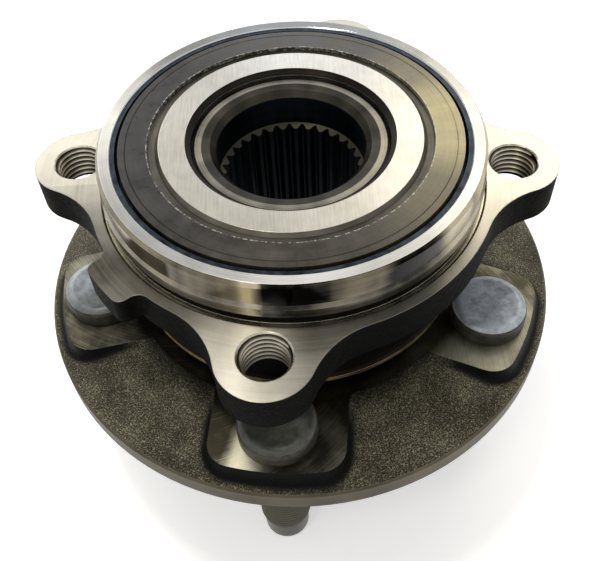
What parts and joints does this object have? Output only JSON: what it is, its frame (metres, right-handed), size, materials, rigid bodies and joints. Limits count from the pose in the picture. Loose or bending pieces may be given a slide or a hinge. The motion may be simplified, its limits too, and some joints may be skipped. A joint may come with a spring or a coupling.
{
  "type": "wheel hub bearing unit",
  "caption": "Sealed ball bearing unit with a wheel flange, pressed wheel studs, a splined spindle and an outer ring with threaded ears for the steering knuckle.",
  "frame": {"origin": "centre of the hub flange's wheel face, on the turning axis", "axes": "+Z along the turning axis towards the vehicle; +X to the right in the picture, -Y towards its camera; it stands on the ends of its wheel studs"},
  "size_m": [0.138, 0.138, 0.0986],
  "materials": {
    "outer_ring_steel": "forged bearing steel, turned and ground on the pilot, faces and seats",
    "hub_steel": "forged steel, shot-blasted flange with turned pads, edge and bores",
    "bearing_steel": "ground bearing steel",
    "ball_steel": "polished bearing balls",
    "cage_polyamide": "glass-filled polyamide, natural colour",
    "stud_zinc": "zinc plated",
    "seal_sheet": "pressed sheet steel",
    "slinger_sheet": "pressed stainless sheet",
    "seal_rubber": "moulded nitrile rubber",
    "encoder_rubber": "ferrite-filled magnetised rubber"
  },
  "bodies": {
    "outer_ring": {"outer_ring": "outer_ring_steel", "inboard_seal_case": "seal_sheet", "inboard_seal_lip": "seal_rubber", "outboard_seal_case": "seal_sheet", "outboard_seal_lip": "seal_rubber"},
    "hub": {"hub_spindle": "hub_steel", "inner_ring": "bearing_steel", "wheel_stud_1": "stud_zinc", "wheel_stud_2": "stud_zinc", "wheel_stud_3": "stud_zinc", "wheel_stud_4": "stud_zinc", "wheel_stud_5": "stud_zinc", "inboard_slinger": "slinger_sheet", "encoder_ring": "encoder_rubber"},
    "inboard_ball_set": {"inboard_cage": "cage_polyamide", "inboard_ball_01": "ball_steel", "inboard_ball_02": "ball_steel", "inboard_ball_03": "ball_steel", "inboard_ball_04": "ball_steel", "inboard_ball_05": "ball_steel", "inboard_ball_06": "ball_steel", "inboard_ball_07": "ball_steel", "inboard_ball_08": "ball_steel", "inboard_ball_09": "ball_steel", "inboard_ball_10": "ball_steel", "inboard_ball_11": "ball_steel", "inboard_ball_12": "ball_steel", "inboard_ball_13": "ball_steel", "inboard_ball_14": "ball_steel"},
    "outboard_ball_set": {"outboard_cage": "cage_polyamide", "outboard_ball_01": "ball_steel", "outboard_ball_02": "ball_steel", "outboard_ball_03": "ball_steel", "outboard_ball_04": "ball_steel", "outboard_ball_05": "ball_steel", "outboard_ball_06": "ball_steel", "outboard_ball_07": "ball_steel", "outboard_ball_08": "ball_steel", "outboard_ball_09": "ball_steel", "outboard_ball_10": "ball_steel", "outboard_ball_11": "ball_steel", "outboard_ball_12": "ball_steel", "outboard_ball_13": "ball_steel", "outboard_ball_14": "ball_steel"}
  },
  "joints": [
    {"name": "hub_spin", "type": "hinge", "parent": "outer_ring", "child": "hub", "pos_m": [0, 0, 0], "axis": [0, 0, 1], "continuous": true},
    {"name": "inboard_cage_spin", "type": "hinge", "parent": "outer_ring", "child": "inboard_ball_set", "pos_m": [0, 0, 0.04222], "axis": [0, 0, 1], "continuous": true},
    {"name": "outboard_cage_spin", "type": "hinge", "parent": "outer_ring", "child": "outboard_ball_set", "pos_m": [0, 0, 0.02691], "axis": [0, 0, 1], "continuous": true}
  ],
  "couplings": [
    {"joint": "inboard_cage_spin", "follows": "hub_spin", "ratio": 0.4372},
    {"joint": "outboard_cage_spin", "follows": "hub_spin", "ratio": 0.4372}
  ]
}
